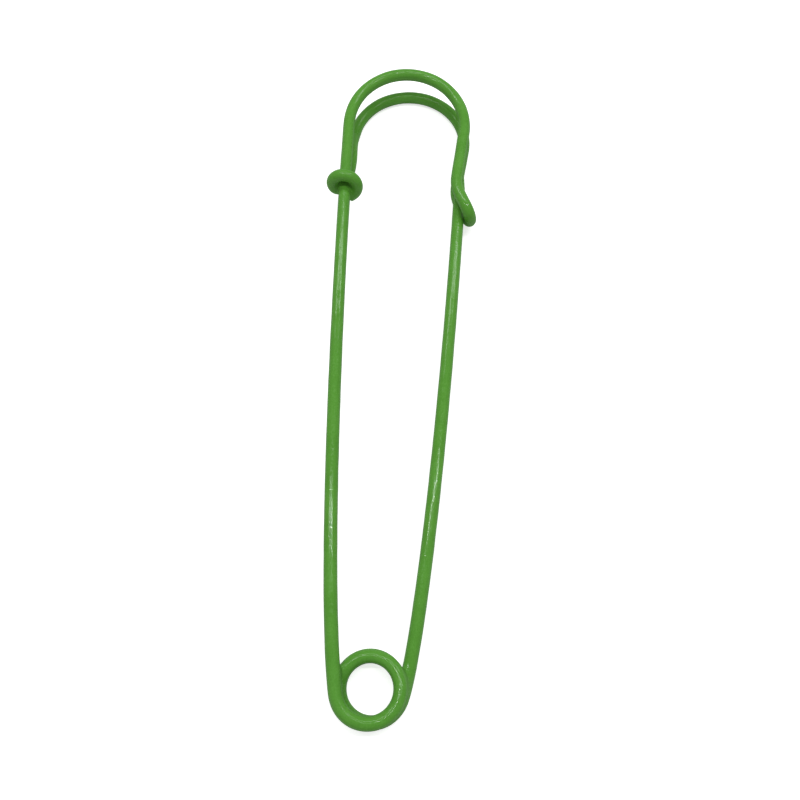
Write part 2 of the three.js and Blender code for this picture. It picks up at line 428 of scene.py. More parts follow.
@dataclass(frozen=True)
class Head:
    """Both arches, both legs of the catch and its fold. Sizes are in millimetres and degrees.

    Attributes:
        wire: The wire's stock.
        distance: From the coil's axis to the middle of the arches, along the pin.
        offset: The same across the pin, for the front arch.
        depth: From the centre of the rear wire up to the centre of the front wire.
        front_half_width: From the middle of the front arch to its side.
        front_rise: From there to its top.
        rear_half_width: From the middle of the rear arch to its side.
        rear_rise: From there to its top.
        rear_offset: How far to the right of the front arch the rear one is sprung.
        front_start: How far above its middle the front arch starts.
        rear_start: How far above its middle the rear arch starts.
        front_end: How far below its middle the front arch ends.
        rear_end: How far below its middle the rear arch ends.
        front_leg: From the front arch to the corner that the waist of its leg rounds off.
        rear_leg: The same for the rear leg.
        waist_radius: The radius of that bend in both legs.
        tongue_angle: How far the tongue of the catch slants outwards.
        tongue: From the corner at the waist to the fold.
    """

    wire: WireStock
    distance: float = 116.2
    offset: float = 5.84
    depth: float = 6.0
    front_half_width: float = 12.68
    front_rise: float = 13.84
    rear_half_width: float = 12.5
    rear_rise: float = 12.75
    rear_offset: float = 0.6
    front_start: float = 2.0
    rear_start: float = 14.1
    front_end: float = 9.5
    rear_end: float = 10.5
    front_leg: float = 13.74
    rear_leg: float = 12.1
    waist_radius: float = 8.42
    tongue_angle: float = 23.0
    tongue: float = 4.98

    @property
    def front(self) -> Arch:
        """The upper arch."""
        level = self.wire.table_level + self.depth
        return Arch(
            (self.offset, self.distance, level),
            self.front_half_width,
            self.front_rise,
            self.front_start,
            self.front_end,
        )

    @property
    def rear(self) -> Arch:
        """The arch that lies on the table."""
        return Arch(
            (self.offset + self.rear_offset, self.distance, self.wire.table_level),
            self.rear_half_width,
            self.rear_rise,
            self.rear_start,
            self.rear_end,
        )

    @property
    def tongue_direction(self) -> np.ndarray:
        """The direction down the tongue, towards the fold."""
        return heading(180.0 - self.tongue_angle)

    def leg(self, arch: Arch, length: float, outward: np.ndarray, count: int = 200) -> Route:
        """Draws one leg: straight on to the waist, round a bend, and down the tongue.

        Args:
            arch: The arch that the leg carries on from.
            length: From the arch to the corner that the bend rounds off.
            outward: The direction that the section keeps to.
            count: The number of points in the bend.

        Returns:
            The route from the arch to the end of the tongue.
        """
        start = arch.points(arch.right)[0]
        straight = arch.direction(arch.right)
        tongue = self.tongue_direction
        corner = start + straight * length
        turn = math.acos(float(straight @ tongue))
        set_back = self.waist_radius * math.tan(turn / 2)
        bend_start = corner - straight * set_back
        inwards = np.array([-straight[1], straight[0], 0.0])
        turned = np.linspace(0.0, turn, count)[:, None]
        bend = (
            bend_start
            + inwards * self.waist_radius * (1 - np.cos(turned))
            + straight * self.waist_radius * np.sin(turned)
        )
        end = corner + tongue * self.tongue
        return Route.level(np.vstack([start, bend, end]), outward)

    def fold(self, front_end: np.ndarray, rear_end: np.ndarray, count: int = 300) -> Route:
        """Draws the fold: half a circle on edge, from the front tongue to the rear one.

        Args:
            front_end: Where the front tongue ends.
            rear_end: Where the rear tongue ends.
            count: The number of points.

        Returns:
            The route, whose section keeps to the spoke of the half circle.
        """
        turned = np.linspace(0.0, math.pi, count)[:, None]
        share = (1 - np.cos(turned)) / 2
        points = front_end * (1 - share) + rear_end * share
        points = points + self.tongue_direction * (self.depth / 2) * np.sin(turned)
        spoke = UP * np.cos(turned) + self.tongue_direction * np.sin(turned)
        return Route(points, spoke)


@dataclass(frozen=True)
class GuardEye:
    """The last turn of the wire, wound round the fixed arm. Sizes in millimetres and degrees.

    Angles go round the fixed arm, from behind it by the left.

    Attributes:
        wire: The wire's stock.
        distance: From the coil's axis to the middle of the eye, along the pin.
        clearance: Between the eye and the fixed arm.
        lift: How far to the front the turn is pushed off the middle of the arm.
        entry_angle: Where the wire comes down behind the arm.
        level_angle: Where it has bent into the turn.
        end_angle: Where it is cut off.
        entry_rise: How high above the turn the wire starts to bend.
        entry_share: The share of that height that is left where it stops being straight.
        bend_share: The share of the bend's angle over which the wire is already level.
        drop: How far the turn drops towards the coil in a full circle.
        tilt: How much higher its front stands than its middle.
    """

    wire: WireStock
    distance: float = 100.25
    clearance: float = 0.2
    lift: float = 0.4
    entry_angle: float = -17.8
    level_angle: float = 51.0
    end_angle: float = 342.0
    entry_rise: float = 9.4
    entry_share: float = 0.45
    bend_share: float = 0.55
    drop: float = 1.25
    tilt: float = 0.5

    def height(self, degrees: np.ndarray | float) -> np.ndarray | float:
        """Gives the height along the arm: an even drop, less the tilt times the cosine."""
        return -self.drop * (degrees - 180.0) / 360.0 - self.tilt * np.cos(np.radians(degrees))

    def grip(self, fixed_arm: np.ndarray) -> tuple[np.ndarray, np.ndarray]:
        """Finds where the eye holds the fixed arm.

        Args:
            fixed_arm: The centre line of the fixed arm.

        Returns:
            The arm's centre there, and its unit direction towards the head, which is read
            between the second points on either side.
        """
        centre = np.array([np.interp(self.distance, fixed_arm[:, 1], c) for c in fixed_arm.T])
        index = int(np.searchsorted(fixed_arm[:, 1], self.distance))
        return centre, unit(fixed_arm[index + 1] - fixed_arm[index - 2])

    def bend(self, count: int = 400) -> np.ndarray:
        """Draws the bend into the turn on the unrolled round of the arm: a Bezier curve.

        Args:
            count: The number of points.

        Returns:
            The angles in one column, and the heights in the other.
        """
        level = self.height(self.level_angle)
        slope = -self.drop / 360.0
        slope += self.tilt * math.sin(math.radians(self.level_angle)) * math.pi / 180.0
        run = (self.level_angle - self.entry_angle) * self.bend_share
        return bezier(
            np.array([self.entry_angle, level + self.entry_rise]),
            np.array([self.entry_angle, level + self.entry_rise * self.entry_share]),
            np.array([self.level_angle - run, level - slope * run]),
            np.array([self.level_angle, level]),
            count,
        )

    def route(self, fixed_arm: np.ndarray, count: int = 600) -> Route:
        """Draws the eye on the unrolled round of the fixed arm, and rolls it up.

        A point is the arm's centre, plus its height along the arm, plus the spoke at its angle.
        The lift to the front grows over the bend, by three squares less two cubes of the way.

        Args:
            fixed_arm: The centre line of the fixed arm.
            count: The number of points in the turn.

        Returns:
            The route, whose section keeps to the spoke from the fixed arm.
        """
        centre, axis = self.grip(fixed_arm)
        right = unit(np.cross(axis, UP))
        front = np.cross(right, axis)
        bend = self.bend()
        turn = np.linspace(self.level_angle, self.end_angle, count)[1:]
        angle = np.radians(np.concatenate([bend[:, 0], turn]))[:, None]
        height = np.concatenate([bend[:, 1], self.height(turn)])[:, None]
        spoke = -right * np.sin(angle) - front * np.cos(angle)
        way = np.clip(np.linspace(0.0, len(angle) / len(bend), len(angle)), 0.0, 1.0)[:, None]
        lifted = front * self.lift * (way**2 * (3 - 2 * way))
        radius = self.wire.diameter + self.clearance
        return Route(centre + axis * height + lifted + spoke * radius, spoke)


@dataclass(frozen=True)
class Arms:
    """The fixed arm and the pin arm. Sizes are in millimetres and degrees.

    Attributes:
        wire: The wire's stock.
        fixed_coil_run: How far the fixed arm keeps the direction in which it leaves the coil.
        fixed_head_run: How far it keeps the direction in which it meets the front arch.
        pin_coil_run: How far the pin arm keeps the direction in which it leaves the coil.
        pin_catch_run: How far it keeps the direction that it has in the catch.
        pin_lean: That direction, from +Y towards +X.
        fold_clearance: Between the pin arm and the inside of the fold.
        slot_clearance: Between the pin arm and the rear wire of the catch.
        point_reach: From the fold to the tip.
    """

    wire: WireStock
    fixed_coil_run: float = 22.0
    fixed_head_run: float = 22.8
    pin_coil_run: float = 6.59
    pin_catch_run: float = 57.2
    pin_lean: float = 4.39
    fold_clearance: float = 0.15
    slot_clearance: float = 0.15
    point_reach: float = 14.5

    def fixed(self, coil: Coil, head: Head) -> np.ndarray:
        """Draws the fixed arm, from the coil to the front arch.

        Args:
            coil: The coil that the arm leaves.
            head: The head whose front arch it meets.

        Returns:
            The centre line, in rows.
        """
        arch = head.front
        return smooth_run(
            coil.route().points[0],
            heading(-coil.fixed_arm_leaves),
            self.fixed_coil_run,
            arch.points(arch.left)[0],
            arch.direction(arch.left),
            self.fixed_head_run,
        )

    def pin(self, coil: Coil, fold_middle: np.ndarray) -> np.ndarray:
        """Draws the pin arm, from the coil past the inside of the fold to the tip.

        Args:
            coil: The coil that the arm leaves.
            fold_middle: The lowest point of the fold's centre line.

        Returns:
            The centre line, in rows.
        """
        along = heading(self.pin_lean)
        outwards = heading(90.0 + self.pin_lean)
        at_fold = fold_middle - outwards * (self.wire.diameter + self.fold_clearance)
        at_fold[2] = self.wire.table_level + self.wire.diameter + self.slot_clearance
        shank = smooth_run(
            coil.route().points[-1],
            heading(coil.pin_arm_leaves),
            self.pin_coil_run,
            at_fold,
            along,
            self.pin_catch_run,
        )
        return np.vstack([shank, at_fold + along * self.point_reach])


@dataclass(frozen=True)
class Waves:
    """One kind of unevenness in the coat: many weak waves, laid over each other.

    Attributes:
        height: The height of all of them together, in millimetres.
        shortest: The least length of one along the wire, in millimetres.
        longest: The greatest length of one along the wire, in millimetres.
        crests: The most crests that one has round the wire.
        count: The number of waves.
    """

    height: float
    shortest: float
    longest: float
    crests: int
    count: int


@dataclass(frozen=True)
class Section:
    """The round of the wire along its route. Sizes are in millimetres.

    Attributes:
        wire: The wire's stock.
        point_length: How much of the pin arm is ground to a point.
        point_power: How full the point is: 1 is a cone, and more is rounder.
        tip_radius: The radius of the blunt tip.
        cut_round: How far the coat rounds off the edge of the cut end.
        flattening: How much the wire is drawn flat on the way round a tight bend, as a multiple
            of the square of its radius over the radius of the bend.
        let_out: How much it is let out across the bend, as a share of that.
        aim_reach: How far to either side of a ring the wire's direction is read.
        bend_reach: How far to either side its bend is read.
        sags: The slow waves in the coat.
        peel: Its fine orange-peel waves.
        seed: The seed that the waves are drawn with.
        sides: The number of points round the wire.
        step: The distance between one ring of points and the next.
        end_rings: The number of rings in the rounding of either end.
    """

    wire: WireStock
    point_length: float = 10.0
    point_power: float = 1.7
    tip_radius: float = 0.18
    cut_round: float = 0.35
    flattening: float = 0.15
    let_out: float = 0.5
    aim_reach: float = 0.05
    bend_reach: float = 0.6
    sags: Waves = Waves(height=0.006, shortest=3.0, longest=14.0, crests=3, count=14)
    peel: Waves = Waves(height=0.0012, shortest=0.7, longest=1.6, crests=9, count=40)
    seed: int = 7
    sides: int = 56
    step: float = 0.25
    end_rings: int = 9

    def stations(self, total: float, cuts: tuple[float, float]) -> np.ndarray:
        """Chooses where the rings stand: evenly, closer at both ends, and at each cut.

        Args:
            total: The wire's whole length.
            cuts: The lengths at which it is cut into pieces.

        Returns:
            The lengths of the rings along the wire.
        """
        even = np.arange(0.0, total, self.step)
        even = even[(even > self.tip_radius) & (even < total - self.cut_round)]
        even = even[np.all([abs(even - cut) > self.step / 3 for cut in cuts], axis=0)]
        quarter = np.sin(np.linspace(0.0, math.pi / 2, self.end_rings))
        tip = self.tip_radius * (1 - quarter[::-1])
        end = total - self.cut_round * (1 - quarter)
        return np.unique(np.round(np.concatenate([tip, even, cuts, end]), LENGTH_DECIMALS))

    def radii(self, stations: np.ndarray, total: float) -> np.ndarray:
        """Gives the wire's radius at each station.

        It is full along the wire. The point narrows by a power of the distance from where the
        grinding starts, and ends in a round tip. The cut end is rounded by a quarter circle.

        Args:
            stations: Lengths along the wire.
            total: Its whole length.

        Returns:
            The radius at each of them.
        """
        radius = self.wire.radius
        ground = np.clip((self.point_length - stations) / self.point_length, 0.0, 1.0)
        body = self.tip_radius + (radius - self.tip_radius) * (1 - ground**self.point_power)
        tip = np.clip(1 - stations / self.tip_radius, 0.0, 1.0)
        rest = np.clip(1 - (total - stations) / self.cut_round, 0.0, 1.0)
        body = body * np.sqrt(1 - tip**2)
        return body - self.cut_round * (1 - np.sqrt(1 - rest**2))

    def unevenness(self, stations: np.ndarray, angles: np.ndarray) -> np.ndarray:
        """Gives the coat's own unevenness: a sum of waves along and round the wire.

        Each wave has its own length, its own whole number of crests round the wire and its own
        phase, drawn with a fixed seed.

        Args:
            stations: Lengths along the wire, in a column.
            angles: Angles round the wire, in a row.

        Returns:
            Heights over the round wire, in millimetres, on the grid of both.
        """
        draw = np.random.default_rng(self.seed)
        total = np.zeros((stations.shape[0], angles.shape[1]))
        for waves in (self.sags, self.peel):
            for _ in range(waves.count):
                length = draw.uniform(waves.shortest, waves.longest)
                crests = int(draw.integers(-waves.crests, waves.crests + 1))
                phase = draw.uniform(0.0, 2 * math.pi)
                wave = np.sin(2 * math.pi * stations / length + crests * angles + phase)
                total += waves.height * math.sqrt(2.0 / waves.count) * wave
        return total

    def flattened(
        self,
        reach: np.ndarray,
        route: Route,
        stations: np.ndarray,
        along: np.ndarray,
        side: np.ndarray,
    ) -> np.ndarray:
        """Draws the wire a little flat in its bends.

        The bend at a ring is the change of the wire's direction over the distance. The part of
        each reach along it is drawn in by the flattening times the square of the wire's radius
        over the bend's, and the part across it is let out by a share of that.

        Args:
            reach: From each ring's middle to its points.
            route: The whole route.
            stations: The lengths of the rings along it.
            along: The wire's direction at each ring.
            side: At each ring, the direction that stands in for a bend where there is none.

        Returns:
            The same reach, flattened.
        """
        wide = self.bend_reach
        total = float(route.lengths()[-1])
        here = route.at(stations).points
        ahead = unit(route.at(stations + wide).points - here + TINY)
        behind = unit(here - route.at(stations - wide).points + TINY)
        bend = (ahead - behind) / wide
        inner = (stations >= wide) & (stations <= total - wide)
        curve = np.where(inner, np.linalg.norm(bend, axis=1), 0.0)[:, None, None]
        squeeze = self.flattening * (self.wire.radius * curve) ** 2
        towards = unit(bend + TINY * side)
        across = np.cross(along, towards)[:, None, :]
        towards = towards[:, None, :]
        inwards = (reach * towards).sum(-1, keepdims=True) * towards
        sideways = (reach * across).sum(-1, keepdims=True) * across
        return reach - squeeze * inwards + self.let_out * squeeze * sideways


@dataclass(frozen=True)
class Web:
    """The coat that gathers where two stretches of the wire lie close. Sizes in millimetres.

    Attributes:
        size: How far apart two surfaces may be for their coat to gather at all. It fills a gap
            of half that size.
        coil_size: The same in the coil, where the coat is thicker.
        most_share: How far the coat may stand out over the round wire, as a share of the size.
        coil_reach: How far past both ends of the coil the coat is as thick as in it. Further
            out on the pin arm it doesn't gather, because that arm moves.
        apart: How far along the wire a stretch is another one.
        sink: How far the coat sinks under its neighbour's past the middle of a gap.
        step: The spacing of the points that stand for the other stretches.
        trials: The number of heights that are tried at each point.
    """

    size: float = 1.0
    coil_size: float = 1.8
    most_share: float = 0.4
    coil_reach: float = 20.0
    apart: float = 8.0
    sink: float = 0.03
    step: float = 0.1
    trials: int = 9

    def growth(
        self,
        centre: np.ndarray,
        spokes: np.ndarray,
        radii: np.ndarray,
        others: np.ndarray,
        other_radii: np.ndarray,
        size: float,
    ) -> np.ndarray:
        """Works out how far the coat stands out on one ring.

        The coat lies where the smooth least of two distances is zero: the distance from this
        wire's surface and the distance from the other stretches'. The smooth least is the lesser
        one, less a quarter of the web's size times the square of their likeness. Past the middle
        of the gap the sink is added, so that the two coats don't share one surface there.

        Args:
            centre: The ring's middle.
            spokes: Unit directions to the points of the ring, in rows.
            radii: Their distances from the middle.
            others: Points of the other stretches' centre lines, in rows.
            other_radii: The wire's radius at each.
            size: How far apart two surfaces may be for their coat to gather.

        Returns:
            The height of the coat over each point.
        """
        most = size * self.most_share
        tried = np.linspace(0.0, most, self.trials)
        out = radii[:, None] + tried[None, :]
        points = centre + spokes[:, None, :] * out[..., None]
        gaps = np.linalg.norm(points[:, :, None, :] - others, axis=-1) - other_radii
        gap = gaps.min(-1)
        likeness = np.clip(1 - abs(tried - gap) / size, 0.0, None)
        past = np.clip(2 * (tried - gap) / size, 0.0, 1.0)
        level = np.minimum(tried, gap) - size / 4 * likeness**2 + self.sink * past
        open_ = level >= 0.0
        first = np.where(open_.any(1), open_.argmax(1), self.trials)
        after = np.clip(first, 1, self.trials - 1)
        row = np.arange(len(radii))
        low, high = level[row, after - 1], level[row, after]
        share = np.clip(-low / np.maximum(high - low, TINY), 0.0, 1.0)
        crossing = tried[after - 1] + share * (tried[after] - tried[after - 1])
        return np.where(first == 0, 0.0, np.where(first == self.trials, most, crossing))

    def spread(
        self,
        route: Route,
        section: Section,
        stations: np.ndarray,
        reach: np.ndarray,
        coil: tuple[float, float],
    ) -> np.ndarray:
        """Lets the coat gather on every ring that comes near another stretch.

        Args:
            route: The whole route.
            section: The wire's section.
            stations: The lengths of the rings along the route.
            reach: From each ring's middle to its points.
            coil: The lengths at which the coil starts and ends.

        Returns:
            The same, with the coat gathered.
        """
        total = float(route.lengths()[-1])
        free = coil[0] - self.coil_reach
        other_stations = np.arange(free, total, self.step)
        others = route.at(other_stations).points
        other_radii = section.radii(other_stations, total)
        centres = route.at(stations).points
        sizes = np.where(stations < coil[1] + self.coil_reach, self.coil_size, self.size)
        reach = reach.copy()
        for index in np.flatnonzero(stations > free):
            centre, size = centres[index], float(sizes[index])
            near = section.wire.diameter + size * (1 + self.most_share)
            away = abs(other_stations - stations[index]) > self.apart
            close = away & (((others - centre) ** 2).sum(1) < near**2)
            if not close.any():
                continue
            radii = np.linalg.norm(reach[index], axis=1)
            spokes = reach[index] / np.maximum(radii, TINY)[:, None]
            grown = self.growth(centre, spokes, radii, others[close], other_radii[close], size)
            reach[index] += spokes * grown[:, None]
        return reach


class NodeBench:
    """The nodes of a material or a world, with short ways to add and to feed them."""

    def __init__(self, owner: bpy.types.Material | bpy.types.World) -> None:
        """Turns the owner's nodes on.

        Args:
            owner: The material or the world.
        """
        owner.use_nodes = True
        self.nodes = owner.node_tree.nodes
        self.links = owner.node_tree.links

    def feed(self, node: bpy.types.Node, inputs: dict[str | int, object]) -> bpy.types.Node:
        """Fills a node's inputs.

        Args:
            node: The node.
            inputs: By the name or number of each input, a value, or the output that it reads.

        Returns:
            The same node.
        """
        for key, value in inputs.items():
            if isinstance(value, bpy.types.NodeSocket):
                self.links.new(value, node.inputs[key])
            else:
                node.inputs[key].default_value = value
        return node

    def add(
        self, kind: str, inputs: dict[str | int, object], **settings: str
    ) -> bpy.types.Node:
        """Adds a node.

        Args:
            kind: The node's type.
            inputs: What its inputs hold, as feed takes it.
            **settings: The node's own settings.

        Returns:
            The new node.
        """
        node = self.nodes.new(kind)
        for name, value in settings.items():
            setattr(node, name, value)
        return self.feed(node, inputs)


@dataclass(frozen=True)
class GreenCoat:
    """The finish: a bright leaf green coat of half gloss, sprayed on and slightly grained.

    Colours are linear. The patterns read the place on the unbent piece, so that they stay on
    the wire as it bends, and their scales are in cycles per metre.

    Attributes:
        name: The material's name.
        green: The coat's colour.
        thin: Its colour where it is thin.
        thick: Its colour where it is thick.
        green_range: The mottle up to which the coat is thick, the one at which it has its own
            colour, and the one from which it is thin.
        cloud_scale: The scale of the slow clouds in the colour.
        cloud_detail: Their detail.
        grain_scale: The scale of the fine grain.
        grain_share: The grain's share in the mottle, where the clouds have the rest.
        peel_scale: The scale of the orange peel.
        roughness: The roughness where the grain is low, and where it is high.
        grain_range: The grain from which, and up to which, the roughness grows.
        rim_roughness: The roughness where the surface is seen edge on.
        rim_blend: How much of the surface counts as its rim.
        rim_power: How closely the rough rim keeps to the edge.
        grain_height: The grain's height in the skin, over the orange peel's.
        bump_strength: How strongly the skin tilts the surface.
        bump_distance: The skin's height, in metres.
        specular: The shader's specular level.
    """

    name: str = "leaf_green_coat"
    green: tuple[float, float, float] = (0.095, 0.305, 0.035)
    thin: tuple[float, float, float] = (0.110, 0.335, 0.045)
    thick: tuple[float, float, float] = (0.082, 0.275, 0.029)
    green_range: tuple[float, float, float] = (0.30, 0.50, 0.72)
    cloud_scale: float = 240.0
    cloud_detail: float = 3.0
    grain_scale: float = 3600.0
    grain_share: float = 0.4
    peel_scale: float = 2600.0
    roughness: tuple[float, float] = (0.03, 0.18)
    grain_range: tuple[float, float] = (0.4, 0.6)
    rim_roughness: float = 1.0
    rim_blend: float = 0.5
    rim_power: float = 2.0
    grain_height: float = 0.5
    bump_strength: float = 0.6
    bump_distance: float = 0.000015
    specular: float = 0.22

    def material(self) -> bpy.types.Material:
        """Builds the finish.

        Returns:
            A node material. Clouds and grain mix three greens, the grain varies the gloss, and
            the orange peel and the grain raise the skin.
        """
        material = bpy.data.materials.new(self.name)
        bench = NodeBench(material)
        place = bench.add("ShaderNodeAttribute", {}, attribute_name=PLACE_ATTRIBUTE)
        cloud, peel, grain = (
            bench.add(
                "ShaderNodeTexNoise",
                {"Scale": scale, "Detail": detail, "Vector": place.outputs["Vector"]},
            ).outputs["Fac"]
            for scale, detail in (
                (self.cloud_scale, self.cloud_detail),
                (self.peel_scale, 0.0),
                (self.grain_scale, 0.0),
            )
        )
        inputs = {
            "Base Color": self._greens(bench, cloud, grain),
            "Roughness": self._gloss(bench, grain),
            "Normal": self._skin(bench, peel, grain),
            "Metallic": 0.0,
            "Specular IOR Level": self.specular,
        }
        bench.feed(bench.nodes["Principled BSDF"], inputs)
        return material

    def _greens(
        self, bench: NodeBench, cloud: bpy.types.NodeSocket, grain: bpy.types.NodeSocket
    ) -> bpy.types.NodeSocket:
        """Mixes the three greens by the mottle: the clouds, with a share of grain.

        Args:
            bench: The finish's nodes.
            cloud: The clouds.
            grain: The grain.

        Returns:
            The colour.
        """
        inputs = {"Factor": self.grain_share, "A": cloud, "B": grain}
        mottle = bench.add("ShaderNodeMix", inputs, data_type="FLOAT")
        greens = bench.add("ShaderNodeValToRGB", {"Fac": mottle.outputs["Result"]})
        ramp = greens.color_ramp.elements
        ramp[0].position, middle, ramp[1].position = self.green_range
        ramp[0].color = (*self.thick, 1.0)
        ramp[1].color = (*self.thin, 1.0)
        ramp.new(middle).color = (*self.green, 1.0)
        return greens.outputs["Color"]

    def _gloss(self, bench: NodeBench, grain: bpy.types.NodeSocket) -> bpy.types.NodeSocket:
        """Makes the roughness: it grows with the grain, and further towards the rim.

        Args:
            bench: The finish's nodes.
            grain: The grain.

        Returns:
            The roughness.
        """
        inputs = {
            "Value": grain,
            "From Min": self.grain_range[0],
            "From Max": self.grain_range[1],
            "To Min": self.roughness[0],
            "To Max": self.roughness[1],
        }
        gloss = bench.add("ShaderNodeMapRange", inputs)
        facing = bench.add("ShaderNodeLayerWeight", {"Blend": self.rim_blend})
        inputs = {0: facing.outputs["Facing"], 1: self.rim_power}
        rim = bench.add("ShaderNodeMath", inputs, operation="POWER")
        inputs = {
            "Factor": rim.outputs["Value"],
            "A": gloss.outputs["Result"],
            "B": self.rim_roughness,
        }
        return bench.add("ShaderNodeMix", inputs, data_type="FLOAT").outputs["Result"]

    def _skin(
        self, bench: NodeBench, peel: bpy.types.NodeSocket, grain: bpy.types.NodeSocket
    ) -> bpy.types.NodeSocket:
        """Raises the skin by the orange peel plus a share of the grain.

        Args:
            bench: The finish's nodes.
            peel: The orange peel.
            grain: The grain.

        Returns:
            The tilted normal.
        """
        inputs = {0: grain, 1: self.grain_height, 2: peel}
        skin = bench.add("ShaderNodeMath", inputs, operation="MULTIPLY_ADD")
        inputs = {
            "Strength": self.bump_strength,
            "Distance": self.bump_distance,
            "Height": skin.outputs["Value"],
        }
        return bench.add("ShaderNodeBump", inputs).outputs["Normal"]


def put_in_scene(name: str, data: bpy.types.ID) -> bpy.types.Object:
    """Makes an object and puts it in the scene.

    Args:
        name: The object's name.
        data: Its mesh, camera or lamp.

    Returns:
        The new object, at the origin.
    """
    made = bpy.data.objects.new(name, data)
    bpy.context.scene.collection.objects.link(made)
    return made


@dataclass
class PinWire:
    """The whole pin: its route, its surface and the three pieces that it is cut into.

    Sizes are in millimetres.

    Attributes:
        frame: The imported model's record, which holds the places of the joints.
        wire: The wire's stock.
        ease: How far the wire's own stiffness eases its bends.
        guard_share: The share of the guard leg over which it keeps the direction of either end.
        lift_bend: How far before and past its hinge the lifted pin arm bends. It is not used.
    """

    frame: dict
    wire: WireStock = WireStock()
    ease: float = 0.45
    guard_share: float = 0.4
    lift_bend: tuple[float, float] = (5.0, 9.0)

    def __post_init__(self) -> None:
        """Sizes the parts of the pin from the wire, and finds its place in the frame."""
        self.coil = Coil(self.wire)
        self.head = Head(self.wire)
        self.arms = Arms(self.wire)
        self.eye = GuardEye(self.wire)
        self.section = Section(self.wire)
        self.web = Web()
        joints = {joint["name"]: joint for joint in self.frame["joints"]}
        self.coil_axis = np.array(joints["pin_swing"]["pos_m"])
        self.lift_hinge = Vector(joints["pin_lift"]["pos_m"])

    def route(self) -> tuple[Route, tuple[float, float]]:
        """Draws the whole wire from the tip to the cut end.

        Returns:
            The route, and the lengths at which the coil starts, after the pin arm, and ends,
            before the fixed arm.
        """
        down = -UP
        front, rear = self.head.front, self.head.rear
        front_leg = self.head.leg(front, self.head.front_leg, UP)
        rear_leg = self.head.leg(rear, self.head.rear_leg, down)
        fold = self.head.fold(front_leg.points[-1], rear_leg.points[-1])
        fold_middle = fold.points[len(fold.points) // 2].copy()
        pin_arm = Route.level(self.arms.pin(self.coil, fold_middle)).reversed()
        coil = self.coil.route().reversed()
        fixed = self.arms.fixed(self.coil, self.head)
        eye = self.eye.route(fixed)
        guard_start = rear.points(rear.left)[0]
        run = float(np.linalg.norm(guard_start - eye.points[0])) * self.guard_share
        _, along_arm = self.eye.grip(fixed)
        guard = smooth_run(
            guard_start, -rear.direction(rear.left), run, eye.points[0], -along_arm, run
        )
        whole = pin_arm.then(coil).then(Route.level(fixed)).then(front.route(UP))
        whole = whole.then(front_leg).then(fold).then(rear_leg.reversed())
        whole = whole.then(rear.route(down).reversed()).then(Route.level(guard, down)).then(eye)
        coil_start = float(pin_arm.lengths()[-1])
        coil_end = coil_start + float(coil.lengths()[-1])
        eased = whole.eased(self.ease)
        kept = float(eased.lengths()[-1] / whole.lengths()[-1])
        return eased, (coil_start * kept, coil_end * kept)

    def surface(
        self, route: Route, stations: np.ndarray, coil: tuple[float, float]
    ) -> np.ndarray:
        """Works out the wire's surface on a grid of length and angle.

        A point is the centre line plus the radius, and the coat's unevenness, along the spoke at
        its angle, and the unevenness fades where the wire narrows. The wire is then flattened in
        its bends, the coat gathers, and what would lie under the table is raised to it.

        Args:
            route: The whole route.
            stations: The lengths of the rings along it.
            coil: The lengths at which the coil starts and ends.

        Returns:
            An array of rings, points round each ring, and three coordinates in metres.
        """
        section = self.section
        here = route.at(stations)
        before = route.at(stations - section.aim_reach).points
        after = route.at(stations + section.aim_reach).points
        along = unit(after - before)
        side = unit(np.cross(along, here.outward))
        top = np.cross(side, along)
        angles = np.linspace(0.0, 2 * math.pi, section.sides, endpoint=False)[None, :]
        spoke = (
            np.cos(angles)[..., None] * side[:, None, :]
            + np.sin(angles)[..., None] * top[:, None, :]
        )
        radius = section.radii(stations, float(route.lengths()[-1]))[:, None]
        coat = section.unevenness(stations[:, None], angles)
        reach = spoke * (radius + coat * np.minimum(radius / self.wire.radius, 1.0))[..., None]
        reach = section.flattened(reach, route, stations, along, side)
        reach = self.web.spread(route, section, stations, reach, coil)
        points = here.points[:, None, :] + reach
        points[..., 2] = np.maximum(points[..., 2], 0.0)
        place = points * MM
        place[..., 0] += self.coil_axis[0]
        place[..., 1] += self.coil_axis[1]
        return place

    def pieces(self, coat: bpy.types.Material) -> list[bpy.types.Object]:
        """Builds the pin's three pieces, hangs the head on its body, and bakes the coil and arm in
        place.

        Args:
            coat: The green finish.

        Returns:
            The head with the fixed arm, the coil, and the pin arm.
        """
        route, cuts = self.route()
        stations = self.section.stations(float(route.lengths()[-1]), cuts)
        grid = self.surface(route, stations, cuts)
        first, second = (int(abs(stations - cut).argmin()) for cut in cuts)
        arm = wire_piece("pin_arm_wire", grid[: first + 1], stations[: first + 1], coat)
        coil = wire_piece("coil_wire", grid[first : second + 1], stations[first : second + 1], coat)
        head = wire_piece("head_wire", grid[second:], stations[second:], coat)
        self._hang_head(head)
        self._hang_coil(coil)
        self._hang_arm(arm)
        return [head, coil, arm]

    @staticmethod
    def _hang_head(head: bpy.types.Object) -> None:
        """Hangs the still part of the wire on the body that holds the head.

        Args:
            head: The head with the fixed arm.
        """
        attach(head, Body.HEAD_AND_COIL.value)
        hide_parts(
            "fixed_arm",
            "fixed_arm_head_half",
            "front_bow",
            "catch_leg_front",
            "catch_fold",
            "catch_leg_rear",
            "rear_bow",
            "guard_leg",
            "guard_eye",
        )

    def _hang_coil(self, coil: bpy.types.Object) -> None:
        """Bakes the coil's place into its mesh, and hides the imported coil.

        Args:
            coil: The coil.
        """
        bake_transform(coil)
        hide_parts("coil_spring")

    def _hang_arm(self, arm: bpy.types.Object) -> None:
        """Bakes the pin arm's place into its mesh, and hides the imported pin arm and spring leg.

        Args:
            arm: The pin arm.
        """
        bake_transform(arm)
        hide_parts("spring_leg", "pin_arm", "pin_arm_point_half")


